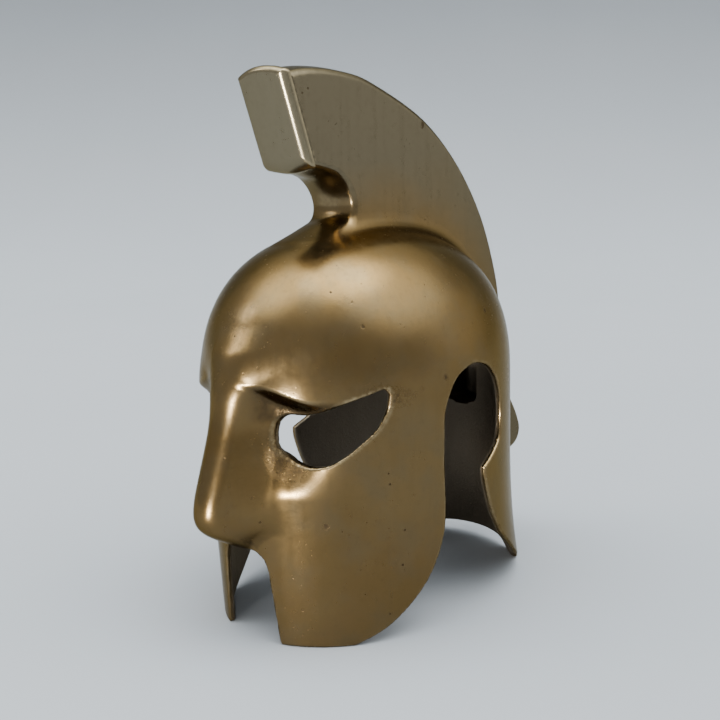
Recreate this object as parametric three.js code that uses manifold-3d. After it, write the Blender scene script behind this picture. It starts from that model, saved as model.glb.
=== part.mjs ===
// A corinthian helmet cast in brass: a hollow shell with a nose guard, two cheek guards and a neck guard,
// and a hollow crest whose open front end is closed by a plate.
// Millimetres, +Z up. The helmet looks along -Y, its own left side is +X, and it rests on the plane z = 0.
import * as THREE from 'three';
import { ParametricGeometry } from 'three/addons/geometries/ParametricGeometry.js';
import { mergeVertices } from 'three/addons/utils/BufferGeometryUtils.js';
import Module from 'manifold-3d';

// ---- Driving dimensions -------------------------------------------------------------------------------

const WALL = 3;                      // thickness of the casting
const REST_Z = -1.5;                 // level of the surface that the cheek guards and neck guard stand on
const JOINT_GAP = 0.3;               // clearance all round the crest's front plate

const BROW_Z = 92;                   // height where the upright walls turn into the dome
const DOME_TOP_Z = 158;
const HALF_WIDTH = 58;               // centre line to the side wall at brow height
const FRONT_REACH = 74;              // centre line to the forehead at brow height
const BACK_REACH = 76;               // centre line to the back of the head at brow height
const BROW_SQUARENESS = 2.08;        // 2 makes the front half of a level section an ellipse, as at the rim
const DOME_FULLNESS = 2.45;          // 2 makes an upright section of the dome an ellipse
const FACE_TAPER = 5;                // how much narrower and shallower the face gets down to the rim
const NECK_FLARE = 11;               // how far the neck guard sweeps out behind
const BELOW_RIM = 14;                // the raw forms run on below the rim and are trimmed off there

const NOSE_BLEND = 7;                // softness of the nose guard's join with the face
const SOCKET_DEPTH = 7.5;            // how far the inner corner of each eye lies behind the brow
const BROW_SWELL = 0.7;              // how far the brow stands proud of the forehead

const CREST_HALF_WIDTH = 12.5;
const CREST_CROWN = 2.6;             // rise of the crest's rounded top across its width
const CREST_HUB = new THREE.Vector2(-5, 130);
const PLATE_THICKNESS = 3;           // of the part that lies flush with the crest
const PLATE_PROUD = 1.8;             // how far the plate's cushioned face stands out in front of the crest
const PLATE_HALF_WIDTH = 13.3;
const PLATE_EDGE_RADIUS = 2.8;

// ---- Small helpers ------------------------------------------------------------------------------------

const { smoothstep, lerp, clamp } = THREE.MathUtils;

// Points below are given as (forward, up) pairs in the helmet's side view.
const points = (...pairs) => pairs.map(([a, b]) => new THREE.Vector2(a, b));

// Reads a smooth quantity off a short list of [height, value] pairs.
function valueAtHeight(pairs, z) {
  if (z <= pairs[0][0]) return pairs[0][1];
  for (let i = 1; i < pairs.length; i += 1) {
    const [z0, v0] = pairs[i - 1];
    const [z1, v1] = pairs[i];
    if (z <= z1) return lerp(v0, v1, (z - z0) / (z1 - z0));
  }
  return pairs[pairs.length - 1][1];
}

function smoothMax(a, b, softness) {
  const mix = clamp(0.5 + 0.5 * (a - b) / softness, 0, 1);
  return lerp(b, a, mix) + softness * mix * (1 - mix);
}

const manifold = await Module();
manifold.setup();

// Turns a closed geometry into a solid: shared corners are joined, and collapsed triangles dropped.
function solidFrom(geometry) {
  const bare = geometry.index ? geometry.clone() : geometry;
  bare.deleteAttribute('normal');
  bare.deleteAttribute('uv');
  const merged = mergeVertices(bare, 1e-3);
  const corners = merged.index.array;
  const kept = [];
  for (let i = 0; i < corners.length; i += 3) {
    const [a, b, c] = [corners[i], corners[i + 1], corners[i + 2]];
    if (a !== b && b !== c && c !== a) kept.push(a, b, c);
  }
  const mesh = new manifold.Mesh({
    numProp: 3,
    vertProperties: new Float32Array(merged.attributes.position.array),
    triVerts: new Uint32Array(kept),
  });
  return new manifold.Manifold(mesh);
}

function geometryFrom(solid) {
  const mesh = solid.getMesh();
  const geometry = new THREE.BufferGeometry();
  geometry.setAttribute('position', new THREE.BufferAttribute(mesh.vertProperties, 3));
  geometry.setIndex(new THREE.BufferAttribute(mesh.triVerts, 1));
  geometry.computeVertexNormals();
  return geometry;
}

// ---- The shell: dome, face, nose guard and neck guard as one surface ------------------------------------

// [height, forward reach] of the nose guard's ridge, from its tip up to where it fades into the forehead.
const NOSE_RIDGE = [
  [28, 60], [34.3, 69], [36.8, 73], [40.6, 80], [44.3, 86.4], [47, 89.4], [50, 90.8], [53, 91.2], [58.5, 90.3],
  [65.6, 88], [74.4, 85], [81.6, 82.7], [88.8, 80.8], [98, 79.5], [103, 78.2], [108, 75.2], [114, 70.6], [122, 60],
  [135, 35], [165, -60],
];
// [height, radius] of the ridge's rounded back.
const NOSE_ROUND = [[30, 7.5], [60, 8.2], [84, 8.8], [94, 11], [102, 14], [112, 16]];
// [height, fall per millimetre of half-width] of the side walls, where they leave the rounded back.
const NOSE_SIDES = [[30, 3.2], [60, 2.6], [76, 1.9], [92, 1.8], [98, 1.6], [102, 1], [106, 0.7], [120, 0.8]];
// [height, flare] of the side walls towards the face.
const NOSE_FLARE = [[94, 0.018], [101, 0.0005]];

function noseReach(x, z) {
  const fall = valueAtHeight(NOSE_SIDES, z);
  const radius = valueAtHeight(NOSE_ROUND, z);
  const flare = valueAtHeight(NOSE_FLARE, z);
  const across = Math.abs(x);
  const slant = Math.hypot(1, fall);
  const beyondRound = Math.max(across - radius * fall / slant, 0);
  const roundDrop = beyondRound > 0 ? radius * (1 - 1 / slant) : radius - Math.sqrt(radius ** 2 - across ** 2);
  const wallDrop = (Math.sqrt(1 / fall ** 2 + 4 * flare * beyondRound) - 1 / fall) / (2 * flare);
  // Far from the middle the nose guard falls away behind the face, and more gently above the brow.
  const upper = smoothstep(z, 96, 105);
  const spreadDrop = lerp(0.3, 0.03, upper) * Math.max(across - lerp(17, 6, upper), 0) ** 2;
  return valueAtHeight(NOSE_RIDGE, z) - roundDrop - wallDrop - spreadDrop;
}

// The hollow between nose guard, brow and cheek that the inner corner of the eye lies in.
function socketDepth(x, z) {
  const beyondCorner = Math.max(Math.abs(x) - 19, 0);
  const across = Math.exp(-((beyondCorner / 14) ** 2));
  const browEdge = 102 - 6 * smoothstep(Math.abs(x), 14, 35);
  const slope = lerp(10, 4, smoothstep(Math.abs(x), 16, 38));
  const upward = (1 - smoothstep(z, browEdge - slope, browEdge + 0.5)) * smoothstep(z, 58, 80);
  return SOCKET_DEPTH * across * upward;
}

function browSwell(x, z) {
  const upward = smoothstep(z, 86, 96) * (1 - smoothstep(z, 97, 112));
  return BROW_SWELL * upward * (1 - smoothstep(Math.abs(x), 28, 42));
}

// A point of the outer surface. angle is 0 at the front and PI at the back; ring runs from 0 at the centre
// of the raw form's floor to 1 at the top of the dome.
const WALL_ROWS = 24;
const DOME_ROWS = 14;
const ROWS = 1 + WALL_ROWS + DOME_ROWS;

function shellPoint(angle, row) {
  let z = -BELOW_RIM;
  let scale = 1;
  if (row < 1) {
    scale = row;
  } else if (row <= 1 + WALL_ROWS) {
    z = lerp(-BELOW_RIM, BROW_Z, (row - 1) / WALL_ROWS);
  } else {
    const latitude = (Math.PI / 2) * ((row - 1 - WALL_ROWS) / DOME_ROWS) ** 1.35;
    const level = Math.abs(Math.cos(latitude));
    const rise = Math.sin(latitude);
    const swell = (level ** DOME_FULLNESS + rise ** DOME_FULLNESS) ** (-1 / DOME_FULLNESS);
    z = BROW_Z + (DOME_TOP_Z - BROW_Z) * rise * swell;
    scale = level * swell;
  }
  const belowBrow = (BROW_Z - z) / BROW_Z;
  const lowness = 0.5 * (belowBrow + Math.hypot(belowBrow, 0.1));
  const facing = smoothstep(Math.cos(angle), -0.2, 0.16);
  const halfWidth = HALF_WIDTH + lowness * lerp(1, -FACE_TAPER, facing);
  const backSweep = NECK_FLARE * clamp((lowness - 0.35) / 0.65, 0, 1.3) ** 2;
  const reach = Math.cos(angle) > 0 ? FRONT_REACH - FACE_TAPER * lowness : BACK_REACH + backSweep;
  const squareness = Math.cos(angle) > 0 ? lerp(2, BROW_SQUARENESS, smoothstep(z, 40, 100)) : 2;
  const across = Math.abs(Math.sin(angle)) ** squareness + Math.abs(Math.cos(angle)) ** squareness;
  const swell = across ** (-1 / squareness);
  const x = halfWidth * scale * swell * Math.sin(angle);
  let forward = reach * scale * swell * Math.cos(angle);
  if (forward > 20 && row >= 1) {
    forward += browSwell(x, z) - socketDepth(x, z);
    forward = smoothMax(forward, noseReach(x, z), NOSE_BLEND);
  }
  return new THREE.Vector3(x, -forward, z);
}

// The same point moved inward along the surface's own normal.
function insetShellPoint(angle, row, inset) {
  const here = shellPoint(angle, row);
  if (inset === 0) return here;
  if (row >= ROWS) return here.add(new THREE.Vector3(0, 0, -inset));
  if (row <= 1) return here.add(new THREE.Vector3(0, 0, -inset)).multiply(new THREE.Vector3(0.95, 0.95, 1));
  const step = 0.02;
  const around = shellPoint(angle + step, row).sub(shellPoint(angle - step, row));
  const upward = shellPoint(angle, Math.min(row + step, ROWS)).sub(shellPoint(angle, row - step));
  const outward = around.cross(upward).normalize();
  return here.addScaledVector(outward, -inset);
}

// Columns crowd together at the nose guard and spread out towards the back.
function columnAngle(u) {
  const turn = 2 * u - 1;
  const even = Math.abs(turn);
  return Math.sign(turn) * Math.PI * (0.3 * even + 0.7 * even ** 3);
}

function shellSolid(inset, columns) {
  const surface = (u, v, target) => {
    target.copy(insetShellPoint(columnAngle(u), v * ROWS, inset));
  };
  return solidFrom(new ParametricGeometry(surface, columns, ROWS));
}

// ---- Extruded outlines ----------------------------------------------------------------------------------

// Side view outlines have x = forward and y = up, and are extruded evenly to both sides.
const SIDE_VIEW = new THREE.Matrix4().makeBasis(
  new THREE.Vector3(0, -1, 0),
  new THREE.Vector3(0, 0, 1),
  new THREE.Vector3(-1, 0, 0),
);

function sideExtrusion(shape, halfWidth, steps = 1) {
  const geometry = new THREE.ExtrudeGeometry(shape, {
    depth: 2 * halfWidth, steps, bevelEnabled: false, curveSegments: 2,
  });
  geometry.translate(0, 0, -halfWidth);
  return geometry.applyMatrix4(SIDE_VIEW);
}

// Front view outlines have x across and y = up, and are extruded forward from the middle of the helmet.
const FRONT_VIEW = new THREE.Matrix4().makeBasis(
  new THREE.Vector3(1, 0, 0),
  new THREE.Vector3(0, 0, 1),
  new THREE.Vector3(0, -1, 0),
);

function frontExtrusion(shape, from, to) {
  const geometry = new THREE.ExtrudeGeometry(shape, {
    depth: to - from, bevelEnabled: false, curveSegments: 2,
  });
  geometry.translate(0, 0, from);
  return geometry.applyMatrix4(FRONT_VIEW);
}

// ---- The crest --------------------------------------------------------------------------------------------

// The crest's front face leans forward: it runs from its lower to its upper end in the side view.
const CREST_FACE_FOOT = new THREE.Vector2(41, 182);
const CREST_FACE_HEAD = new THREE.Vector2(53.2, 216.7);
const faceUp = CREST_FACE_HEAD.clone().sub(CREST_FACE_FOOT).normalize();
const faceOut = new THREE.Vector2(faceUp.y, -faceUp.x);

// Ridge from the front face back and down to the tail, then the tail's upturned round end.
const CREST_RIDGE = points([38, 219.9], [20, 220.4], [2, 217.7], [-31, 205.3], [-55, 187], [-75, 162], [-86, 138],
  [-91, 118], [-98, 75]);
const TAIL_END = points([-106, 63], [-110, 53], [-107, 45], [-99, 41], [-86, 41]);
// The notch between the crest's overhanging front and the forehead, from the dome up to the front face.
const NOTCH = points([24, 156.4], [17.3, 160.8], [15.4, 167], [18, 173.6], [23.6, 178.6], [31, 180.6]);

function crestOutline() {
  const shape = new THREE.Shape();
  const [tailStart] = CREST_RIDGE.slice(-1);
  const [tailFoot] = TAIL_END.slice(-1);
  const [notchStart] = NOTCH;
  const [notchEnd] = NOTCH.slice(-1);
  shape.moveTo(CREST_FACE_HEAD.x, CREST_FACE_HEAD.y);
  shape.splineThru(CREST_RIDGE);
  shape.splineThru(TAIL_END);
  shape.lineTo(-60, tailFoot.y + 6);
  shape.lineTo(-50, tailStart.y + 25);
  shape.lineTo(0, BROW_Z + 30);
  shape.lineTo(34, 132);
  shape.lineTo(35, 149.5);
  shape.lineTo(notchStart.x, notchStart.y);
  shape.splineThru(NOTCH.slice(1));
  shape.lineTo(notchEnd.x + 2, notchEnd.y + 0.2);
  shape.lineTo(CREST_FACE_FOOT.x, CREST_FACE_FOOT.y);
  return shape;
}

// The ridge is rounded across: points far from the hub sink towards it near the crest's two sides.
function roundCrown(geometry, halfWidth) {
  const position = geometry.attributes.position;
  for (let i = 0; i < position.count; i += 1) {
    const across = position.getX(i) / halfWidth;
    const fromHub = new THREE.Vector2(-position.getY(i), position.getZ(i)).sub(CREST_HUB);
    const sink = CREST_CROWN * across ** 2 * smoothstep(fromHub.length(), 69, 74);
    fromHub.setLength(sink);
    position.setY(i, position.getY(i) + fromHub.x);
    position.setZ(i, position.getZ(i) - fromHub.y);
  }
  return geometry;
}

function crestSolid() {
  return solidFrom(roundCrown(sideExtrusion(crestOutline(), CREST_HALF_WIDTH, 8), CREST_HALF_WIDTH));
}

// The crest's cavity: open to the head below and, in front, to the plate.
const CAVITY_HALF_WIDTH = CREST_HALF_WIDTH - WALL;
const CAVITY_RIDGE = points([36, 216.6], [20, 216.8], [2, 214.3], [-29, 202.6], [-52.6, 184.6], [-72.2, 160.4],
  [-82.9, 137.2], [-87.8, 117.4], [-94, 76]);
const CAVITY_FOOT_Z = 70;

function cavitySolid() {
  const shape = new THREE.Shape();
  shape.moveTo(56, 214.5);
  shape.splineThru(CAVITY_RIDGE);
  shape.lineTo(-92, CAVITY_FOOT_Z);
  shape.lineTo(-60, CAVITY_FOOT_Z);
  shape.lineTo(-40, 110);
  shape.lineTo(10, 125);
  shape.lineTo(14, 150);
  shape.splineThru(points([13.4, 166], [17.4, 175.6], [24.8, 181.2], [33, 183.2]));
  shape.lineTo(50, 184);
  return solidFrom(roundCrown(sideExtrusion(shape, CAVITY_HALF_WIDTH, 4), CAVITY_HALF_WIDTH));
}

// ---- Openings cut through the shell -----------------------------------------------------------------------

function eyeOutline(side) {
  const across = (...pairs) => points(...pairs.map(([x, z]) => [side * x, z]));
  const shape = new THREE.Shape();
  shape.moveTo(side * 49.2, 99.6);
  shape.splineThru(across([46, 97.6], [41.8, 95.6], [37.3, 93.4], [31.1, 90.9], [24.7, 89.7], [19.2, 89.6]));
  shape.splineThru(across([16.4, 87.3], [15.8, 82.8], [17.2, 77], [21, 72.7], [27.5, 70.6], [33.6, 71.2],
    [38, 73.9], [43, 79], [47.3, 84.9], [49.4, 91.5], [50, 97.3]));
  return shape;
}

// Everything between a cheek guard's rear edge and the neck guard's front edge, with the ear opening above.
function earOutline() {
  const shape = new THREE.Shape();
  shape.moveTo(53, -4);
  shape.splineThru(points([39.4, 2.2], [31.9, 7.2], [25.6, 12.8], [19.7, 19.3], [15, 27.4], [11.8, 37], [11.2, 47.3],
    [12.5, 60], [13.6, 76.3], [13.5, 88.3], [8.5, 98.6], [0.3, 103.3], [-7, 104], [-16.5, 100.6], [-24.5, 92],
    [-27.3, 81], [-25.6, 70.6], [-19.9, 65.5], [-10.6, 60.6]));
  shape.splineThru(points([-11.3, 54.9], [-15.6, 43.1], [-21.4, 34], [-30.8, 24.2], [-53, 8]));
  shape.lineTo(-66, 2);
  shape.lineTo(-73, -4);
  return shape;
}

// The slit between the cheek guards, a little wider at the rim. It ends above in an arch under the nose guard.
const SLIT_RIM_HALF_WIDTH = 15.4;
const SLIT_TOP_HALF_WIDTH = 12.4;
const SLIT_SPRING_Z = 28;
const SLIT_TOP_Z = 36.8;

function slitSolid() {
  const shape = new THREE.Shape();
  shape.moveTo(-SLIT_RIM_HALF_WIDTH, -4);
  shape.lineTo(SLIT_RIM_HALF_WIDTH, -4);
  shape.lineTo(SLIT_TOP_HALF_WIDTH, SLIT_SPRING_Z);
  shape.splineThru(points([10.8, 32.6], [6.6, 35.8], [0, SLIT_TOP_Z], [-6.6, 35.8], [-10.8, 32.6],
    [-SLIT_TOP_HALF_WIDTH, SLIT_SPRING_Z]));
  return solidFrom(frontExtrusion(shape, 40, 110));
}

// Trims the rim to the plane the helmet rests on, and lifts the middle of the neck guard's rim off it.
function rimTrim() {
  const below = new THREE.BoxGeometry(200, 260, 60);
  below.translate(0, 0, REST_Z - 30);
  const arch = new THREE.Shape();
  arch.moveTo(28, -4);
  arch.splineThru(points([24, 0.5], [18, 3.6], [0, 4.5], [-18, 3.6], [-24, 0.5], [-28, -4]));
  return solidFrom(below).add(solidFrom(frontExtrusion(arch, -110, -60)));
}

// ---- The two pieces ---------------------------------------------------------------------------------------

// Everything in front of the plane that the plate is joined at.
function frontOfSeam(clearance) {
  const depth = PLATE_THICKNESS + clearance;
  const foot = CREST_FACE_FOOT.clone().addScaledVector(faceUp, -14).addScaledVector(faceOut, -depth);
  const head = CREST_FACE_HEAD.clone().addScaledVector(faceUp, 20).addScaledVector(faceOut, -depth);
  const shape = new THREE.Shape([
    foot,
    foot.clone().addScaledVector(faceOut, 30),
    head.clone().addScaledVector(faceOut, 30),
    head,
  ]);
  return solidFrom(sideExtrusion(shape, 20));
}

function castingSolid() {
  const skin = shellSolid(0, 60).add(crestSolid());
  const hollow = shellSolid(WALL, 48).add(cavitySolid());
  const eyes = solidFrom(frontExtrusion(eyeOutline(1), 20, 110))
    .add(solidFrom(frontExtrusion(eyeOutline(-1), 20, 110)));
  return skin
    .subtract(hollow)
    .subtract(eyes)
    .subtract(solidFrom(sideExtrusion(earOutline(), 90)))
    .subtract(slitSolid())
    .subtract(rimTrim())
    .subtract(frontOfSeam(JOINT_GAP));
}

// The plate closes the crest's open front end: a cushion with an arched top and rounded face edges.
function plateSolid() {
  const height = CREST_FACE_FOOT.distanceTo(CREST_FACE_HEAD);
  const shoulder = height - CREST_CROWN;
  const shape = new THREE.Shape();
  shape.moveTo(-PLATE_HALF_WIDTH, 0);
  shape.lineTo(PLATE_HALF_WIDTH, 0);
  shape.lineTo(PLATE_HALF_WIDTH, shoulder);
  shape.quadraticCurveTo(0, height + CREST_CROWN, -PLATE_HALF_WIDTH, shoulder);
  const cushion = new THREE.ExtrudeGeometry(shape, {
    depth: PLATE_THICKNESS + PLATE_PROUD,
    bevelThickness: PLATE_EDGE_RADIUS,
    bevelSize: PLATE_EDGE_RADIUS,
    bevelOffset: -PLATE_EDGE_RADIUS,
    bevelSegments: 4,
    curveSegments: 6,
  });
  cushion.translate(0, 0, -PLATE_THICKNESS - PLATE_EDGE_RADIUS);
  const leaning = new THREE.Matrix4().makeBasis(
    new THREE.Vector3(1, 0, 0),
    new THREE.Vector3(0, -faceUp.x, faceUp.y),
    new THREE.Vector3(0, -faceOut.x, faceOut.y),
  );
  leaning.setPosition(0, -CREST_FACE_FOOT.x, CREST_FACE_FOOT.y);
  return solidFrom(cushion.applyMatrix4(leaning)).intersect(frontOfSeam(0));
}

const agedBrass = { roughness: 0.38, metalness: 1 };

const casting = new THREE.Mesh(
  geometryFrom(castingSolid()),
  new THREE.MeshStandardMaterial({ color: 0x7d6238, ...agedBrass }),
);
casting.name = 'helmet_casting';

const plate = new THREE.Mesh(
  geometryFrom(plateSolid()),
  new THREE.MeshStandardMaterial({ color: 0x837750, ...agedBrass }),
);
plate.name = 'crest_front_plate';

// The origin lies under the middle of the helmet, on the surface that it stands on.
const helmet = new THREE.Group();
helmet.add(casting, plate);
const extent = new THREE.Box3().setFromObject(helmet);
helmet.position.set(0, -(extent.min.y + extent.max.y) / 2, -extent.min.z);

export default helmet;
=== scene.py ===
"""Visual model of a cast brass corinthian helmet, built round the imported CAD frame.

The casting is described once as a smooth signed distance function, negative in the metal, and its mesh is
that function's zero surface. The sizes are those of the CAD part, in millimetres: x is the wearer's left,
f is forward and z is up from the helmet's own datum. The frame is in metres with -Y forward, and `to_frame`
turns one into the other.
"""

import math

import bpy
import numpy as np
from mathutils import Matrix, Vector


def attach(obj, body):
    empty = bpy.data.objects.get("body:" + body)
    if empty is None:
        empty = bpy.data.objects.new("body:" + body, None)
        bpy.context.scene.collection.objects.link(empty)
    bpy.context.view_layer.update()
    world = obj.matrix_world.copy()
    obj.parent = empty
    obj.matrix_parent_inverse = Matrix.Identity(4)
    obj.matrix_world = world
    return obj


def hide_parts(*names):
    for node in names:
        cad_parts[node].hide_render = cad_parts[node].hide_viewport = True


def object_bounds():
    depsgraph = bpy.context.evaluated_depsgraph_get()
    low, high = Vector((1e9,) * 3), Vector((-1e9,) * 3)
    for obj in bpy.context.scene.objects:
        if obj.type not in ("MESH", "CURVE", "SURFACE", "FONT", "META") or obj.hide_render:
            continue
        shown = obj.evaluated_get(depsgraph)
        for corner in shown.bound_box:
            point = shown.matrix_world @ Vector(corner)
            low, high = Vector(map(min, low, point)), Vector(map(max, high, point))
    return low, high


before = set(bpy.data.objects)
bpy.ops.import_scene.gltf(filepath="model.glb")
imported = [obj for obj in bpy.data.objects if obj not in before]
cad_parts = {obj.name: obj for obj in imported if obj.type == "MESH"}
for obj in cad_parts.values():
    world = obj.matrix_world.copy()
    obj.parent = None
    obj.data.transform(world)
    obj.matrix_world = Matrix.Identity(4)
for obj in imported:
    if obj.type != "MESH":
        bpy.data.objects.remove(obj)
CAD_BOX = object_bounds()

MM = 0.001
TAIL_REACH = 110.0  # how far the crest's tail lies behind the helmet's datum
REST_Z = -1.5  # the table's height, just below the datum
MIDDLE = CAD_BOX[1][1] / MM - TAIL_REACH  # the datum's place along the frame's Y


def to_frame(points):
    """Helmet points (x, f, z) in millimetres to the frame's metres."""
    x, f, z = np.asarray(points, float).T
    return np.stack([x, MIDDLE - f, z - REST_Z], 1) * MM


# ---- Curves and flat outlines ----------------------------------------------------------------------------

def ramp(low, high, value):
    """A smooth step from 0 at low to 1 at high, which may be the smaller of the two."""
    t = np.clip((value - low) / (high - low), 0.0, 1.0)
    return t * t * (3.0 - 2.0 * t)


def mix(a, b, t):
    return a + (b - a) * t


def soft_min(a, b, width):
    """Union of two solids with a fillet in the crease between them."""
    t = np.clip(0.5 + 0.5 * (b - a) / width, 0.0, 1.0)
    return mix(b, a, t) - width * t * (1.0 - t)


def round_max(a, b, radius):
    """Intersection of two solids whose shared edge is rounded."""
    over = np.hypot(np.maximum(a + radius, 0.0), np.maximum(b + radius, 0.0))
    return np.minimum(np.maximum(a, b), -radius) + over


def through(points, steps=8):
    """A smooth curve through the points."""
    p = np.asarray(points, float)
    p = np.vstack([2 * p[0] - p[1], p, 2 * p[-1] - p[-2]])
    t = np.linspace(0, 1, steps, endpoint=False)[:, None]
    runs = []
    for a, b, c, d in zip(p, p[1:], p[2:], p[3:]):
        linear = (c - a) * t
        square = (2 * a - 5 * b + 4 * c - d) * t**2
        cube = (3 * b - a - 3 * c + d) * t**3
        runs.append(0.5 * (2 * b + linear + square + cube))
    return np.vstack(runs + [p[-2:-1]])


def spline_weights(t):
    """Weights of the four nearest samples in a cubic B-spline."""
    return (
        (1 - t) ** 3 / 6,
        (3 * t**3 - 6 * t**2 + 4) / 6,
        (3 * t + 3 * t**2 - 3 * t**3 + 1) / 6,
        t**3 / 6,
    )


class Profile:
    """A smooth function of height, given by a few (height, value) pairs."""
    MARGIN = 4
    SMOOTHING = 6

    def __init__(self, *pairs):
        heights, values = np.array(pairs, float).T
        self.start = heights[0] - self.MARGIN
        self.table = np.interp(np.arange(self.start, heights[-1] + self.MARGIN + 1), heights, values)
        for _ in range(self.SMOOTHING):
            self.table[1:-1] = 0.25 * self.table[:-2] + 0.5 * self.table[1:-1] + 0.25 * self.table[2:]

    def __call__(self, z):
        s = np.clip(z - self.start, 1.0, len(self.table) - 2.001)
        i = s.astype(int)
        return sum(w * self.table[i + k - 1] for k, w in enumerate(spline_weights(s - i)))


class Outline:
    """Signed distance to a closed flat outline, negative inside, read smoothly from a grid."""
    STEP = 0.6
    MARGIN = 14.0

    def __init__(self, *runs):
        loop = np.vstack(runs)
        self.low = loop.min(0) - self.MARGIN
        high = loop.max(0) + self.MARGIN
        u, v = np.meshgrid(*(np.arange(a, b, self.STEP) for a, b in zip(self.low, high)), indexing="ij")
        nearest = np.full(u.shape, np.inf)
        inside = np.zeros(u.shape, bool)
        for (au, av), (bu, bv) in zip(loop, np.roll(loop, -1, 0)):
            du, dv = bu - au, bv - av
            t = np.clip(((u - au) * du + (v - av) * dv) / max(du * du + dv * dv, 1e-9), 0, 1)
            nearest = np.minimum(nearest, (u - au - t * du) ** 2 + (v - av - t * dv) ** 2)
            if dv:
                inside ^= ((av > v) != (bv > v)) & (u < au + (v - av) * du / dv)
        self.table = np.where(inside, -1.0, 1.0) * np.sqrt(nearest)

    def __call__(self, u, v):
        su = np.clip((u - self.low[0]) / self.STEP, 1.0, self.table.shape[0] - 2.001)
        sv = np.clip((v - self.low[1]) / self.STEP, 1.0, self.table.shape[1] - 2.001)
        iu, iv = su.astype(int), sv.astype(int)
        wu, wv = spline_weights(su - iu), spline_weights(sv - iv)
        rows = [sum(wv[k] * self.table[iu + j - 1, iv + k - 1] for k in range(4)) for j in range(4)]
        return sum(wu[j] * rows[j] for j in range(4))


# ---- The casting as a signed distance function -----------------------------------------------------------

FAR = 50.0  # stands for a distance where a feature has no effect
FACE_START = 20.0  # the nose, brow and eyes are all forward of this
WALL = 3.0
BROW_Z = 92.0
DOME_TOP_Z = 158.0
HALF_WIDTH = 58.0
FRONT_REACH = 74.0
BACK_REACH = 76.0
FACE_TAPER = 5.0
NECK_FLARE = 11.0
NECK_FLARE_START = 0.35
BROW_SQUARENESS = 2.08
DOME_FULLNESS = 2.45
SOCKET_DEPTH = 7.5
BROW_SWELL = 0.7

# The nose guard by height: how far forward its ridge is, how steeply its sides fall, the radius of its
# ridge, and how quickly the sides spread towards the face.
NOSE_REACH = Profile(
    (28, 60), (34.3, 69), (36.8, 73), (40.6, 80), (44.3, 86.4), (47, 89.4), (50, 90.8), (53, 91.2),
    (58.5, 90.3), (65.6, 88), (74.4, 85), (81.6, 82.7), (88.8, 80.8), (94, 80), (98, 79.5),
    (103, 78.2), (108, 75.2), (114, 70.6), (122, 60), (135, 35), (165, -60),
)
NOSE_FALL = Profile(
    (30, 3.2), (60, 2.6), (76, 1.9), (92, 1.8), (98, 1.6), (102, 1.0), (106, 0.7), (120, 0.8), (165, 1.0),
)
NOSE_ROUND = Profile((30, 7.5), (60, 8.2), (84, 8.8), (94, 11.0), (102, 14.0), (112, 16.0), (165, 16.0))
NOSE_FLARE = Profile((30, 0.018), (94, 0.018), (101, 0.0005), (165, 0.0005))


def head(x, f, z):
    """Dome, face and neck, without the nose guard."""
    s = (BROW_Z - z) / BROW_Z
    low = 0.5 * (s + np.sqrt(s * s + 0.01))
    half_width = HALF_WIDTH + low * mix(1.0, -FACE_TAPER, ramp(-14.0, 11.0, f))
    sweep = NECK_FLARE * np.clip((low - NECK_FLARE_START) / (1 - NECK_FLARE_START), 0.0, 1.3) ** 2
    reach = np.where(f > 0, FRONT_REACH - FACE_TAPER * low, BACK_REACH + sweep)
    power = np.where(f > 0, 2.0 + (BROW_SQUARENESS - 2.0) * ramp(40.0, 100.0, z), 2.0)
    a, b = np.abs(x) / half_width, np.abs(f) / reach
    rise = DOME_TOP_Z - BROW_Z
    c = np.maximum(z - BROW_Z, 0.0) / rise
    level = np.maximum((a**power + b**power) ** (1 / power), 1e-3)
    full = (level**DOME_FULLNESS + c**DOME_FULLNESS) ** (1 / DOME_FULLNESS)
    share = (level / full) ** (DOME_FULLNESS - 1)
    slope_x = share * (a / level) ** (power - 1) / half_width
    slope_f = share * (b / level) ** (power - 1) / reach
    slope_z = (c / full) ** (DOME_FULLNESS - 1) / rise
    return (full - 1) / np.sqrt(slope_x**2 + slope_f**2 + slope_z**2 + 1e-12)


def nose(x, f, z):
    """The nose guard's ridge: a rounded back whose side walls spread towards the face."""
    fall, radius, flare, across = NOSE_FALL(z), NOSE_ROUND(z), NOSE_FLARE(z), np.abs(x)
    slant = np.sqrt(1 + fall * fall)
    edge = radius * fall / slant
    arc = np.sqrt(np.maximum(radius**2 - across**2, 1e-3))
    root = np.sqrt(1 / fall**2 + 4 * flare * np.maximum(across - edge, 0.0))
    on_arc = across < edge
    drop = np.where(on_arc, radius - arc, radius * (1 - 1 / slant) + (root - 1 / fall) / (2 * flare))
    steep = np.where(on_arc, across / arc, 1 / root)
    upper = ramp(96.0, 105.0, z)
    outside, fade = np.maximum(across - mix(17.0, 6.0, upper), 0.0), mix(0.3, 0.03, upper)
    return (f - NOSE_REACH(z) + drop + fade * outside**2) / np.sqrt(1 + (steep + 2 * fade * outside) ** 2)


def brow_line(across):
    """The height of the brow's lower edge."""
    return 102.0 - 6.0 * ramp(14.0, 35.0, across)


def socket(x, f, z):
    """How far the eye's inner corner lies behind brow and cheek."""
    across = np.abs(x)
    slope = mix(10.0, 4.0, ramp(16.0, 38.0, across))
    upward = ramp(brow_line(across) + 0.5, brow_line(across) - slope, z) * ramp(58.0, 80.0, z)
    aside = np.exp(-((np.maximum(across - 19.0, 0.0) / 14.0) ** 2))
    return SOCKET_DEPTH * aside * upward * (f > FACE_START)


def brow_swell(x, f, z):
    """The brow stands a little proud of the forehead above it."""
    upward = ramp(86.0, 96.0, z) * ramp(112.0, 97.0, z)
    return BROW_SWELL * upward * ramp(42.0, 28.0, np.abs(x)) * (f > FACE_START)


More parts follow.
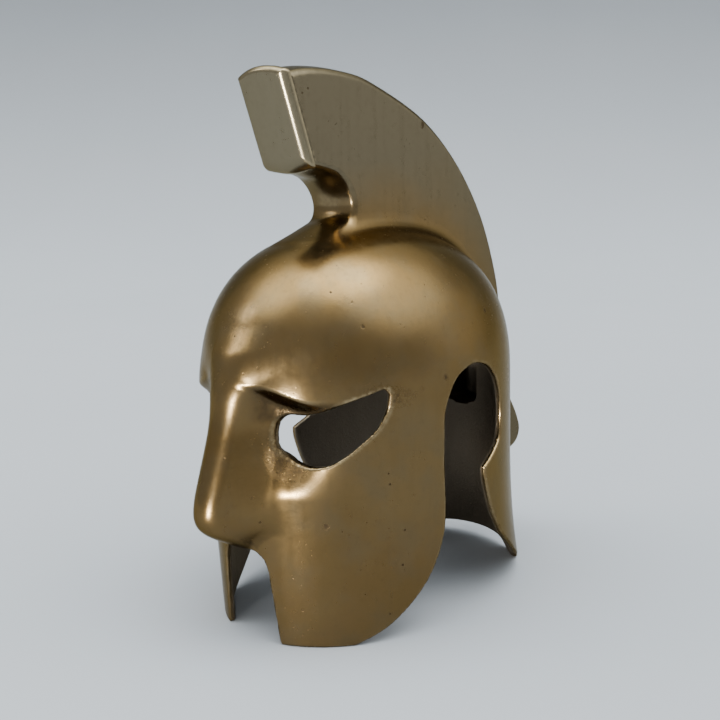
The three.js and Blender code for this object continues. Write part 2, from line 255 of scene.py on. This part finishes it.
def shell(x, f, z):
    """The helmet's outer form without the crest, not yet hollow or cut."""
    face = head(x, f, z) + socket(x, f, z) - brow_swell(x, f, z)
    guard = np.where(f > FACE_START, nose(x, f, z), FAR)
    return soft_min(face, guard, mix(2.6, 11.0, ramp(97.0, 114.0, z)))


CREST_HALF_WIDTH = 12.5
CREST_EDGE = 2.0
CREST_CROWN = 2.6
CREST_HUB = (-5.0, 130.0)
CREST_FILLET = 7.0
NOTCH_SWELL = 2.2
# The foot and the head of the crest's front face, forward and up.
FACE_FOOT = np.array([41.0, 182.0])
FACE_HEAD = np.array([53.2, 216.7])
PLATE_THICKNESS = 3.0
PLATE_PROUD = 1.8
PLATE_OVERHANG = 0.8
PLATE_CROWN = 0.004
PLATE_FACE_EDGE = 3.0
JOINT_GAP = 0.3
SEAM_LOW_Z = 172.0

crest_outline = Outline(
    through([FACE_HEAD, (38, 219.9), (20, 220.4), (2, 217.7), (-31, 205.3), (-55, 187), (-75, 162),
             (-86, 138), (-91, 118), (-98, 75)]),
    through([(-98, 75), (-106, 63), (-110, 53), (-107, 45), (-99, 41), (-86, 41)]),
    [(-60, 47), (-50, 100), (0, 122), (34, 132)],
    through([(34, 150), (24, 156.4), (17.3, 160.8), (15.4, 167), (18, 173.6), (23.6, 178.6), (31, 180.6),
             FACE_FOOT]),
)
plate_outline = Outline([(20, 220.6), (60, 218.0), (60, 182.0), (20, 180.0)])
cavity_outline = Outline(
    through([(60, 214.5), (36, 216.6), (20, 216.8), (2, 214.3), (-29, 202.6), (-52.6, 184.6),
             (-72.2, 160.4), (-82.9, 137.2), (-87.8, 117.4), (-94, 76)]),
    [(-92, 70), (-60, 70), (-40, 110), (10, 125), (14, 150)],
    through([(13.4, 166), (17.4, 175.6), (24.8, 181.2), (33, 183.2)]),
    [(55, 184)],
)


def slab(outline, x, f, z, half_width, edge):
    """A flat sided body of the given side outline, its top rounded across and its front notch swollen."""
    away = np.hypot(f - CREST_HUB[0], z - CREST_HUB[1])
    across = (x / half_width) ** 2
    in_notch = ramp(150.0, 160.0, z) * ramp(184.0, 177.0, z) * (f > 5)
    crown = CREST_CROWN * across * ramp(66.0, 76.0, away)
    swell = NOTCH_SWELL * (1 - across) * in_notch
    return round_max(outline(f, z) + crown - swell, np.abs(x) - half_width, edge)


def before_seam(f, z, depth):
    """Distance in front of the plane that lies depth behind the crest's front face."""
    up = (FACE_HEAD - FACE_FOOT) / np.linalg.norm(FACE_HEAD - FACE_FOOT)
    return (f - FACE_FOOT[0]) * up[1] - (z - FACE_FOOT[1]) * up[0] + depth


def crest(x, f, z):
    return slab(crest_outline, x, f, z, CREST_HALF_WIDTH, CREST_EDGE)


def crest_cavity(x, f, z):
    return slab(cavity_outline, x, f, z, CREST_HALF_WIDTH - WALL, CREST_EDGE)


# The openings: the eyes and the slit as seen from the front, the ears as seen from the side.
eye_outline = Outline(through([
    (49.2, 99.6), (46, 97.6), (41.8, 95.6), (37.3, 93.4), (31.1, 90.9), (24.7, 89.7), (19.2, 89.6),
    (16.4, 87.3), (15.8, 82.8), (17.2, 77), (21, 72.7), (27.5, 70.6), (33.6, 71.2), (38, 73.9), (43, 79),
    (47.3, 84.9), (49.4, 91.5), (50, 97.3),
]))
ear_outline = Outline(
    through([(53, -4), (39.4, 2.2), (31.9, 7.2), (25.6, 12.8), (19.7, 19.3), (15, 27.4), (11.8, 37),
             (11.2, 47.3), (12.5, 60), (13.6, 76.3), (13.5, 88.3), (8.5, 98.6), (0.3, 103.3), (-7, 104),
             (-16.5, 100.6), (-24.5, 92), (-27.3, 81), (-25.6, 70.6), (-19.9, 65.5), (-10.6, 60.6)]),
    through([(-10.6, 60.6), (-11.3, 54.9), (-15.6, 43.1), (-21.4, 34), (-30.8, 24.2), (-53, 8)]),
    [(-66, 2), (-73, -4), (-74, -16), (54, -16)],
)
slit_outline = Outline(
    [(-16.5, -16), (16.5, -16)],
    through([(12.4, 28), (10.8, 32.6), (6.6, 35.8), (0, 36.8), (-6.6, 35.8), (-10.8, 32.6), (-12.4, 28)]),
)
rim_arch = Outline(through([(28, -4), (24, 0.5), (18, 3.6), (0, 4.5), (-18, 3.6), (-24, 0.5), (-28, -4)]),
                   [(-28, -16), (28, -16)])
RIM_ROUNDING = 0.9
EAR_CUT_INNER = 30.0  # the side cuts stop this far from the middle
MOUTH_START = 35.0
RIM_ARCH_FRONT = -55.0


def cuts(x, f, z, depth):
    """Everything that is cut away from the shell, as one solid. The eyes' outer corners are cut square to the
    wall, which has the given depth of metal in front of the point."""
    across = np.abs(x)
    square = 0.9 * depth * ramp(40.0, 48.0, across)
    eyes = np.where(f > FACE_START, eye_outline(across + square, z), FAR)
    ears = np.maximum(ear_outline(f, z), EAR_CUT_INNER - across)
    mouth = np.where(f > MOUTH_START, slit_outline(x, z), FAR)
    below = np.minimum(z - REST_Z, np.where(f < RIM_ARCH_FRONT, rim_arch(x, z), FAR))
    return np.minimum(np.minimum(eyes, ears), np.minimum(mouth, below))


def skin(x, f, z):
    """The outer surface with the crest, before anything is cut."""
    return soft_min(shell(x, f, z), crest(x, f, z), CREST_FILLET)


def casting(x, f, z):
    """The metal of the hollow casting, behind the seam of the front plate."""
    body = shell(x, f, z)
    outside = soft_min(body, crest(x, f, z), CREST_FILLET)
    hollow = np.minimum(body + WALL, crest_cavity(x, f, z))
    metal = np.maximum(outside, -hollow)
    metal = round_max(metal, -cuts(x, f, z, np.clip(-body, 0.0, 5.0)), RIM_ROUNDING)
    seam = np.where(z > SEAM_LOW_Z, before_seam(f, z, PLATE_THICKNESS + JOINT_GAP), -FAR)
    return round_max(metal, seam, 0.4)


def plate(x, f, z):
    """The crest's front plate: a cushion that closes the crest, its face edges well rounded."""
    face = before_seam(f, z, -PLATE_PROUD) + PLATE_CROWN * x**2
    section = slab(plate_outline, x, f, z, CREST_HALF_WIDTH + PLATE_OVERHANG, 1.0)
    front = round_max(section, face, PLATE_FACE_EDGE)
    return round_max(front, -before_seam(f, z, PLATE_THICKNESS), 0.3)


# ---- Meshing ---------------------------------------------------------------------------------------------

def sample(field, low, high, cell, block=4):
    """Values on a grid, worked out only in the blocks the surface can pass through, NaN elsewhere."""
    low = np.asarray(low, float)
    blocks = np.ceil((np.asarray(high) - low) / (cell * block)).astype(int)
    side = cell * block
    centres = np.indices(blocks).reshape(3, -1).T * side + low + side / 2
    near = (np.abs(field(*centres.T)) < side + 0.4).reshape(blocks)
    for axis in range(3):
        near = np.repeat(near, block, axis)
    wanted = np.pad(near, ((0, 1),) * 3)
    for axis in range(3):
        wanted |= np.roll(wanted, 1, axis)
    values = np.full(wanted.shape, np.nan, np.float32)
    at = np.argwhere(wanted)
    values[wanted] = np.concatenate([field(*(part * cell + low).T) for part in np.array_split(at, 8)])
    return values, low


def surface_net(field, low, high, cell):
    """The zero surface of a field as quads: one vertex in each cell the surface crosses."""
    values, low = sample(field, low, high, cell)
    inside, known = values < 0, ~np.isnan(values)
    cells = np.array(values.shape) - 1
    crossings, owners, quads = [], [], []
    for axis in range(3):
        start = tuple(slice(0, -1) if k == axis else slice(None) for k in range(3))
        end = tuple(slice(1, None) if k == axis else slice(None) for k in range(3))
        flips = (inside[start] != inside[end]) & known[start] & known[end]
        at = np.argwhere(flips)
        here, there = values[start][flips], values[end][flips]
        point = at.astype(float)
        point[:, axis] += here / (here - there)
        second, third = (axis + 1) % 3, (axis + 2) % 3
        corners = np.repeat(at[:, None, :], 4, 1)
        corners[:, (1, 2), second] -= 1
        corners[:, (2, 3), third] -= 1
        ids = (corners[..., 0] * cells[1] + corners[..., 1]) * cells[2] + corners[..., 2]
        crossings.append(np.repeat(point, 4, 0))
        owners.append(ids.ravel())
        outward = here < there
        quads.append(np.where(outward[:, None], ids, ids[:, ::-1]))
    owners, crossings = np.concatenate(owners), np.concatenate(crossings)
    used, index = np.unique(owners, return_inverse=True)
    shares = np.bincount(index)
    vertices = np.stack([np.bincount(index, crossings[:, k]) / shares for k in range(3)], 1)
    return vertices * cell + low, np.searchsorted(used, np.concatenate(quads))


def gradient(field, points, step=0.15):
    slopes = np.empty_like(points)
    for k in range(3):
        offset = np.eye(3)[k] * step
        slopes[:, k] = (field(*(points + offset).T) - field(*(points - offset).T)) / (2 * step)
    return slopes


def settle(field, points, rounds=2):
    """Moves points onto the field's zero surface."""
    for _ in range(rounds):
        slopes = gradient(field, points)
        steep = np.maximum((slopes**2).sum(1), 0.05)
        points = points - (np.clip(field(*points.T), -0.5, 0.5) / steep)[:, None] * slopes
    return points


def mesh_object(name, vertices, faces):
    mesh = bpy.data.meshes.new(name)
    mesh.from_pydata(vertices, [], faces)
    obj = bpy.data.objects.new(name, mesh)
    bpy.context.collection.objects.link(obj)
    return obj


def decimate(obj, triangles):
    """Thins the mesh to about so many triangles, keeping them where the surface bends."""
    now = sum(len(p.vertices) - 2 for p in obj.data.polygons)
    if now <= triangles:
        return
    modifier = obj.modifiers.new("thin", "DECIMATE")
    modifier.ratio = triangles / now
    modifier.use_collapse_triangulate = True
    with bpy.context.temp_override(object=obj, active_object=obj, selected_objects=[obj]):
        bpy.ops.object.modifier_apply(modifier=modifier.name)


def points_of(mesh):
    """The mesh's vertices as an array."""
    flat = np.empty(3 * len(mesh.vertices), np.float32)
    mesh.vertices.foreach_get("co", flat)
    return flat.reshape(-1, 3).astype(float)


def field_piece(name, field, low, high, cell, triangles):
    """A mesh piece on the field's surface, smooth shaded by the field's own normals, in the frame's metres.
    Returns the object and its vertices in helmet millimetres."""
    vertices, quads = surface_net(field, low, high, cell)
    piece = mesh_object(name, vertices, quads)
    decimate(piece, triangles)
    points = settle(field, points_of(piece.data))
    normals = gradient(field, points)
    normals /= np.linalg.norm(normals, axis=1, keepdims=True)
    normals[:, 1] *= -1
    piece.data.vertices.foreach_set("co", to_frame(points).astype(np.float32).ravel())
    piece.data.flip_normals()
    piece.data.update()
    piece.data.normals_split_custom_set_from_vertices(normals)
    return piece, points


# ---- Materials -------------------------------------------------------------------------------------------

class Graph:
    """Short ways to add and join the nodes of a material or a world."""

    def __init__(self, owner):
        self.owner = owner
        owner.use_nodes = True
        self.tree = owner.node_tree
        self.tree.nodes.clear()
        coordinates = self.add("ShaderNodeTexCoord")
        self.place = coordinates.outputs["Object"]
        self.direction = coordinates.outputs["Generated"]

    def add(self, kind, **settings):
        node = self.tree.nodes.new(kind)
        for key, value in settings.items():
            setattr(node, key, value)
        return node

    def put(self, socket, value):
        if isinstance(value, bpy.types.NodeSocket):
            self.tree.links.new(value, socket)
        else:
            socket.default_value = value

    def math(self, operation, a, b=0.0, clamp=False):
        node = self.add("ShaderNodeMath", operation=operation, use_clamp=clamp)
        self.put(node.inputs[0], a)
        self.put(node.inputs[1], b)
        return node.outputs[0]

    def stretched(self, scale):
        node = self.add("ShaderNodeMapping")
        self.put(node.inputs["Vector"], self.place)
        node.inputs["Scale"].default_value = scale
        return node.outputs[0]

    def along(self, axis):
        """How far the direction points along an axis, from -1 to 1."""
        node = self.add("ShaderNodeVectorMath", operation="DOT_PRODUCT")
        self.put(node.inputs[0], self.direction)
        node.inputs[1].default_value = axis
        return node.outputs["Value"]

    def noise(self, size, detail, rough=0.55, where=None):
        """Noise whose blotches are about size millimetres across."""
        node = self.add("ShaderNodeTexNoise")
        self.put(node.inputs["Vector"], where or self.place)
        node.inputs["Scale"].default_value = 1.0 / (size * MM)
        node.inputs["Detail"].default_value = detail
        node.inputs["Roughness"].default_value = rough
        return node.outputs["Fac"]

    def cells(self, size):
        """The distance to the nearest of points scattered about size millimetres apart."""
        node = self.add("ShaderNodeTexVoronoi")
        self.put(node.inputs["Vector"], self.place)
        node.inputs["Scale"].default_value = 1.0 / (size * MM)
        return node.outputs["Distance"]

    def window(self, value, low, high, to_low=0.0, to_high=1.0):
        """A smooth step from to_low at low to to_high at high."""
        node = self.add("ShaderNodeMapRange", interpolation_type="SMOOTHSTEP")
        for socket, number in zip(node.inputs, (value, low, high, to_low, to_high)):
            self.put(socket, number)
        return node.outputs[0]

    def blend(self, amount, a, b):
        node = self.add("ShaderNodeMix", data_type="RGBA")
        self.put(node.inputs[0], amount)
        self.put(node.inputs[6], a)
        self.put(node.inputs[7], b)
        return node.outputs[2]

    def painted(self, name):
        """A mask painted on the mesh's vertices."""
        return self.add("ShaderNodeAttribute", attribute_name=name).outputs["Fac"]

    def bump(self, height, distance, under=None):
        node = self.add("ShaderNodeBump")
        self.put(node.inputs["Height"], height)
        node.inputs["Distance"].default_value = distance * MM
        if under:
            self.put(node.inputs["Normal"], under)
        return node.outputs[0]

    def surface(self, **values):
        shader = self.add("ShaderNodeBsdfPrincipled")
        for key, value in values.items():
            self.put(shader.inputs[key.replace("_", " ")], value)
        output = self.add("ShaderNodeOutputMaterial")
        self.put(output.inputs["Surface"], shader.outputs[0])
        return self.owner


def colour(red, green, blue):
    return (red, green, blue, 1.0)


WARM_BRASS = colour(0.148, 0.097, 0.041)
BROWN_BRASS = colour(0.128, 0.080, 0.030)
GREY_BRASS = colour(0.106, 0.088, 0.056)
PLATE_BRASS = colour(0.175, 0.150, 0.098)
PALE_BRASS = colour(0.42, 0.33, 0.19)
# Dark brown for tarnish, casting pits and rough cast; it is also the painted shade under the brow and the
# painted dark reflection streaks.
PATINA_AND_SHADE_BROWN = colour(0.046, 0.031, 0.017)
SOOT = colour(0.155, 0.128, 0.096)
RIM_TINT = colour(0.60, 0.56, 0.48)
# Flaws left by the casting: x, forward, up and size.
FLAWS = [
    (37.4, 44.8, 131.5, 1.1), (42.4, 44.6, 122.6, 1.2), (57, 14, 101, 1.7), (57, 17, 105, 1.3),
    (52, -18.6, 123.8, 1.5), (33.4, 57.2, 48.2, 2.2), (49.8, 31, 43.4, 1.0), (48.9, 31.4, 29.2, 0.9),
    (12.5, -28.4, 200.9, 2.4), (12.5, -20, 207.5, 1.6), (12.6, 74.9, 59.8, 1.2), (14.2, 72.9, 49.9, 1.1),
    (46, 40, 70, 0.8), (24.6, 62, 13.9, 0.9),
]


def aged_brass(name, second_tone, share):
    """Brass gone brown and tarnished with age, with painted shade under the brow, painted dark reflection
    streaks and a painted highlight on edges near the eyes, turning by share into a second tone on the crest.
    """
    g = Graph(bpy.data.materials.new(name))
    inside = g.painted("inside")
    edge_wear_and_sheen = g.painted("edge_wear_and_sheen")
    creased = g.painted("creased")
    casting_grain_and_brow_shade = g.painted("casting_grain_and_brow_shade")

    drift = g.noise(46.0, detail=3.0)
    # Thin upright streaks: painted dark reflection bands, as upright curved walls show.
    dark_reflection_bands = g.noise(3.4, detail=5.0, rough=0.6, where=g.stretched((1.0, 1.0, 0.07)))
    mottle = g.noise(2.6, detail=6.0, rough=0.65)
    fine = g.noise(0.55, detail=3.0, rough=0.6)
    cloud = g.noise(15.0, detail=5.0, rough=0.6)

    tone = g.blend(g.window(drift, 0.36, 0.66), WARM_BRASS, BROWN_BRASS)
    tone = g.blend(g.window(cloud, 0.42, 0.70, 0.0, 0.28), tone, GREY_BRASS)
    tone = g.blend(g.math("MULTIPLY", g.painted("on_crest"), share), tone, second_tone)
    # Painted dark reflection streaks.
    tone = g.blend(g.window(dark_reflection_bands, 0.50, 0.78, 0.0, 0.12), tone, PATINA_AND_SHADE_BROWN)
    tone = g.blend(g.window(mottle, 0.50, 0.80, 0.0, 0.22), tone, PATINA_AND_SHADE_BROWN)
    # Pale brass on sharp edges: rubbed wear, with a painted highlight on the rims round the eyes and nose.
    tone = g.blend(g.math("MULTIPLY", edge_wear_and_sheen, g.window(mottle, 0.30, 0.62, 0.7, 0.2)), tone, PALE_BRASS)

    pits = g.math("MULTIPLY", g.window(g.cells(7.5), 0.035, 0.085, 1.0, 0.0),
                  g.window(g.noise(21.0, detail=2.0), 0.52, 0.60))
    specks = g.math("MULTIPLY", g.window(g.cells(2.1), 0.05, 0.16, 1.0, 0.0),
                    g.window(g.noise(13.0, detail=2.0), 0.55, 0.66))
    spots = g.math("MAXIMUM", pits, g.math("MULTIPLY", specks, 0.8), clamp=True)
    for x, f, z, size in FLAWS:
        away = g.add("ShaderNodeVectorMath", operation="DISTANCE")
        g.put(away.inputs[0], g.place)
        away.inputs[1].default_value = to_frame(np.array([[x, f, z]]))[0]
        ragged = g.math("ADD", away.outputs["Value"], g.math("MULTIPLY", mottle, 2.0 * size * MM))
        spots = g.math("MAXIMUM", spots, g.window(ragged, 1.2 * size * MM, 1.8 * size * MM, 0.9, 0.0))
    tone = g.blend(g.math("MULTIPLY", spots, 0.95), tone, PATINA_AND_SHADE_BROWN)

    # Rough cast grain, darkened; under the brow the darkening is also painted shade.
    darkened_grain_and_shade = g.math("MULTIPLY", casting_grain_and_brow_shade, g.window(g.noise(1.5, detail=5.0, rough=0.7), 0.38, 0.62))
    tone = g.blend(g.math("MULTIPLY", darkened_grain_and_shade, 0.8), tone, PATINA_AND_SHADE_BROWN)
    # Patina in creases, and painted shade in the recess under the brow.
    hollow = g.math("MAXIMUM", creased, g.painted("painted_brow_shade"))
    tone = g.blend(g.math("MULTIPLY", hollow, g.window(mottle, 0.25, 0.65, 0.95, 0.55)), tone, PATINA_AND_SHADE_BROWN)
    tone = g.blend(g.math("MULTIPLY", inside, 0.93), tone, SOOT)

    gloss = g.window(mottle, 0.25, 0.75, 0.20, 0.25)
    gloss = g.math("ADD", gloss, g.math("MULTIPLY", g.window(dark_reflection_bands, 0.3, 0.75), 0.04))
    gloss = g.math("ADD", gloss, g.math("MULTIPLY", g.math("MAXIMUM", inside, darkened_grain_and_shade), 0.25))
    gloss = g.math("ADD", gloss, g.math("MULTIPLY", spots, 0.2), clamp=True)

    height = g.math("MULTIPLY", fine, 0.22)
    height = g.math("ADD", height, g.math("MULTIPLY", mottle, 0.6))
    relief = g.bump(height, 0.05)
    relief = g.bump(g.math("MULTIPLY", spots, -1.0), 0.05, relief)
    lumps = g.math("MULTIPLY", g.noise(1.3, detail=5.0, rough=0.7), g.math("MAXIMUM", casting_grain_and_brow_shade, inside))
    relief = g.bump(lumps, 0.22, relief)

    return g.surface(Base_Color=tone, Metallic=1.0, Roughness=gloss, Specular_Tint=RIM_TINT, Normal=relief)


def paint(piece, name, values):
    """Keeps a mask from 0 to 1 on the mesh's vertices for the materials."""
    layer = piece.data.attributes.new(name, "FLOAT", "POINT")
    layer.data.foreach_set("value", np.clip(values, 0.0, 1.0).astype(np.float32))


def bend(field, points, reach):
    """How the surface curves, from -1 in tight creases to 1 on tight edges, felt over reach millimetres."""
    around = sum(field(*(points + side * reach * np.eye(3)[k]).T) for k in range(3) for side in (-1, 1))
    return np.clip((around - 6 * field(*points.T)) / reach, -1.0, 1.0)


# ---- The pieces ------------------------------------------------------------------------------------------

CELL = 0.9
CASTING_BOX = (-62, -116, -6), (62, 98, 227)
CASTING_TRIANGLES = 190000
PLATE_BOX = (-16, 20, 172), (16, 64, 226)
PLATE_TRIANGLES = 30000


def build_casting():
    piece, points = field_piece("helmet_brass", casting, *CASTING_BOX, CELL, CASTING_TRIANGLES)
    x, f, z = points.T
    across, in_face = np.abs(x), f > FACE_START
    paint(piece, "inside", ramp(1.3, 2.3, -skin(x, f, z)))
    turn = bend(casting, points, 1.2)
    # The pale edges are boosted round the eyes, brow and nose as a painted highlight.
    by_opening = ramp(60.0, 66.0, z) * ramp(104.0, 100.0, z) * in_face
    paint(piece, "edge_wear_and_sheen", ramp(0.25, 0.75, turn) * (0.35 + 0.65 * by_opening))
    paint(piece, "creased", ramp(0.12, 0.5, -turn))
    paint(piece, "on_crest", ramp(-3.0, 30.0, shell(x, f, z)))
    by_eye = ramp(5.0, 0.5, np.hypot(np.hypot(across - 21.0, z - 74.0) * 0.9, f - 64.0) - 5.0)
    # Painted shade in the recess under the brow, above the eyes.
    below_brow = ramp(brow_line(across) + 0.5, brow_line(across) - 2.0, z) * ramp(86.0, 89.0, z) * in_face
    paint(piece, "painted_brow_shade", below_brow * ramp(9.0, 14.0, across) * ramp(44.0, 38.0, across))
    # Under the brow the rough cast mask carries real grain and also painted shade.
    grain_and_shade_beneath_brow = below_brow * ramp(94.0, 91.0, z) * ramp(46.0, 38.0, across) * ramp(15.0, 22.0, across)
    outer_corner = ramp(6.0, 1.0, np.hypot(across - 49.0, z - 96.0)) * in_face
    paint(piece, "casting_grain_and_brow_shade", np.maximum(np.maximum(by_eye, grain_and_shade_beneath_brow), outer_corner))
    piece.data.materials.append(aged_brass("cast_brass", GREY_BRASS, 1.0))
    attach(piece, "root")
    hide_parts("helmet_casting")


def build_plate():
    piece, points = field_piece("crest_front_brass", plate, *PLATE_BOX, CELL * 0.5, PLATE_TRIANGLES)
    paint(piece, "edge_wear_and_sheen", ramp(0.2, 0.7, bend(plate, points, 1.0)) * 0.7)
    paint(piece, "on_crest", np.ones(len(points)))
    for mask in ("inside", "creased", "painted_brow_shade", "casting_grain_and_brow_shade"):
        paint(piece, mask, np.zeros(len(points)))
    piece.data.materials.append(aged_brass("plate_brass", PLATE_BRASS, 0.9))
    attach(piece, "root")
    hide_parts("crest_front_plate")


# ---- Stage, light and camera -----------------------------------------------------------------------------

# The stage in metres, from its front edge near the camera to the top of its backdrop.
STAGE_HALF_WIDTH = 2.6
STAGE_FRONT = -1.8
STAGE_BACK = 1.5
STAGE_BEND = 0.9
STAGE_TOP = 2.4
STAGE_BEND_STEPS = 16
STAGE_TONES = colour(0.255, 0.268, 0.285), colour(0.270, 0.283, 0.300)
# The camera in millimetres and degrees.
VIEW_AZIMUTH = 42.9
VIEW_DISTANCE = 387.0
VIEW_HEIGHT = 162.0
VIEW_ASIDE = -0.6
VIEW_PITCH = 9.0
VIEW_ROLL = 1.1
HELMET_MIDDLE = Vector((0.0, 0.0, 0.1))
WALL_GLOW = 0.75
WALL_COLOUR = colour(0.93, 0.98, 1.0)
# Broad soft patches of light on the room's ceiling and upper walls: aside, elevation, reach and strength.
ROOM_PATCHES = [
    (0, 90, 60, 1.6), (-35, 80, 30, 9.0), (-70, 50, 38, 3.2), (85, 58, 30, 5.0), (-97, 14, 28, 0.8),
]


def build_stage():
    """A pale table top that sweeps up into a backdrop behind the helmet as the camera sees it."""
    profile = [(STAGE_FRONT, 0.0), (STAGE_BACK, 0.0)]
    for step in range(1, STAGE_BEND_STEPS + 1):
        angle = math.radians(90 * step / STAGE_BEND_STEPS)
        profile.append((STAGE_BACK + STAGE_BEND * math.sin(angle), STAGE_BEND * (1 - math.cos(angle))))
    profile.append((STAGE_BACK + STAGE_BEND, STAGE_TOP))
    vertices = [(side * STAGE_HALF_WIDTH, y, z) for y, z in profile for side in (-1, 1)]
    faces = [(2 * i, 2 * i + 1, 2 * i + 3, 2 * i + 2) for i in range(len(profile) - 1)]
    stage = mesh_object("studio_floor", vertices, faces)
    stage.rotation_euler.z = math.radians(VIEW_AZIMUTH)
    for polygon in stage.data.polygons:
        polygon.use_smooth = True
    g = Graph(bpy.data.materials.new("studio_grey"))
    tone = g.blend(g.noise(260.0, detail=2.0), *STAGE_TONES)
    stage.data.materials.append(g.surface(Base_Color=tone, Roughness=0.85))


def view_axes(azimuth):
    """Unit vectors to the viewer's right and from the helmet towards the viewer, level."""
    turn = math.radians(azimuth)
    return Vector((math.cos(turn), math.sin(turn), 0.0)), Vector((math.sin(turn), -math.cos(turn), 0.0))


def build_camera():
    right, toward = view_axes(VIEW_AZIMUTH)
    up = Vector((0.0, 0.0, 1.0))
    pitch, roll = math.radians(VIEW_PITCH), math.radians(VIEW_ROLL)
    back = toward * math.cos(pitch) + up * math.sin(pitch)
    level_up = up * math.cos(pitch) - toward * math.sin(pitch)
    image_right = right * math.cos(roll) - level_up * math.sin(roll)
    image_up = right * math.sin(roll) + level_up * math.cos(roll)
    place = toward * VIEW_DISTANCE + right * VIEW_ASIDE + up * (VIEW_HEIGHT - REST_Z)
    place.y += MIDDLE
    data = bpy.data.cameras.new("camera")
    data.sensor_width = 36.0
    data.lens = 45.0
    data.clip_start = 0.01
    camera = bpy.data.objects.new("camera", data)
    axes = Matrix((image_right, image_up, back)).transposed().to_4x4()
    camera.matrix_world = Matrix.Translation(place * MM) @ axes
    bpy.context.collection.objects.link(camera)
    bpy.context.scene.camera = camera


def bearing(aside, elevation):
    """The direction so many degrees to the viewer's left of the camera and above the level."""
    right, toward = view_axes(VIEW_AZIMUTH)
    turn, lift = math.radians(aside), math.radians(elevation)
    level = toward * math.cos(turn) - right * math.sin(turn)
    return level * math.cos(lift) + Vector((0.0, 0.0, math.sin(lift)))


def softbox(name, direction, distance, size, power, tint=(1.0, 1.0, 1.0)):
    """An area light seen from the helmet in a direction and turned towards it."""
    data = bpy.data.lights.new(name, "AREA")
    data.shape = "RECTANGLE"
    data.size, data.size_y = size
    data.energy = power
    data.color = tint
    light = bpy.data.objects.new(name, data)
    light.location = direction * distance + HELMET_MIDDLE
    light.rotation_euler = direction.to_track_quat("Z", "Y").to_euler()
    bpy.context.collection.objects.link(light)


def build_room():
    """A room that is dark in front of the helmet at eye level and lit in soft patches from above."""
    world = bpy.data.worlds.new("studio")
    bpy.context.scene.world = world
    g = Graph(world)
    glow = WALL_GLOW
    for aside, elevation, reach, strength in ROOM_PATCHES:
        edge = math.cos(math.radians(reach))
        core = math.cos(math.radians(0.2 * reach))
        glow = g.math("ADD", glow, g.window(g.along(bearing(aside, elevation)), edge, core, 0.0, strength))
    background = g.add("ShaderNodeBackground")
    background.inputs["Color"].default_value = WALL_COLOUR
    g.put(background.inputs["Strength"], glow)
    output = g.add("ShaderNodeOutputWorld")
    g.put(output.inputs["Surface"], background.outputs[0])


def build_lights():
    """A small low window that lights the nose and the cheek, and a wide dim one to the viewer's left."""
    softbox("window", bearing(28, -9), 0.52, (0.07, 0.035), 3.6, (1.0, 0.98, 0.94))
    softbox("side_window", bearing(90, 31), 1.2, (0.25, 0.25), 1.5)


build_room()
build_camera()
build_stage()
build_lights()
build_casting()
build_plate()
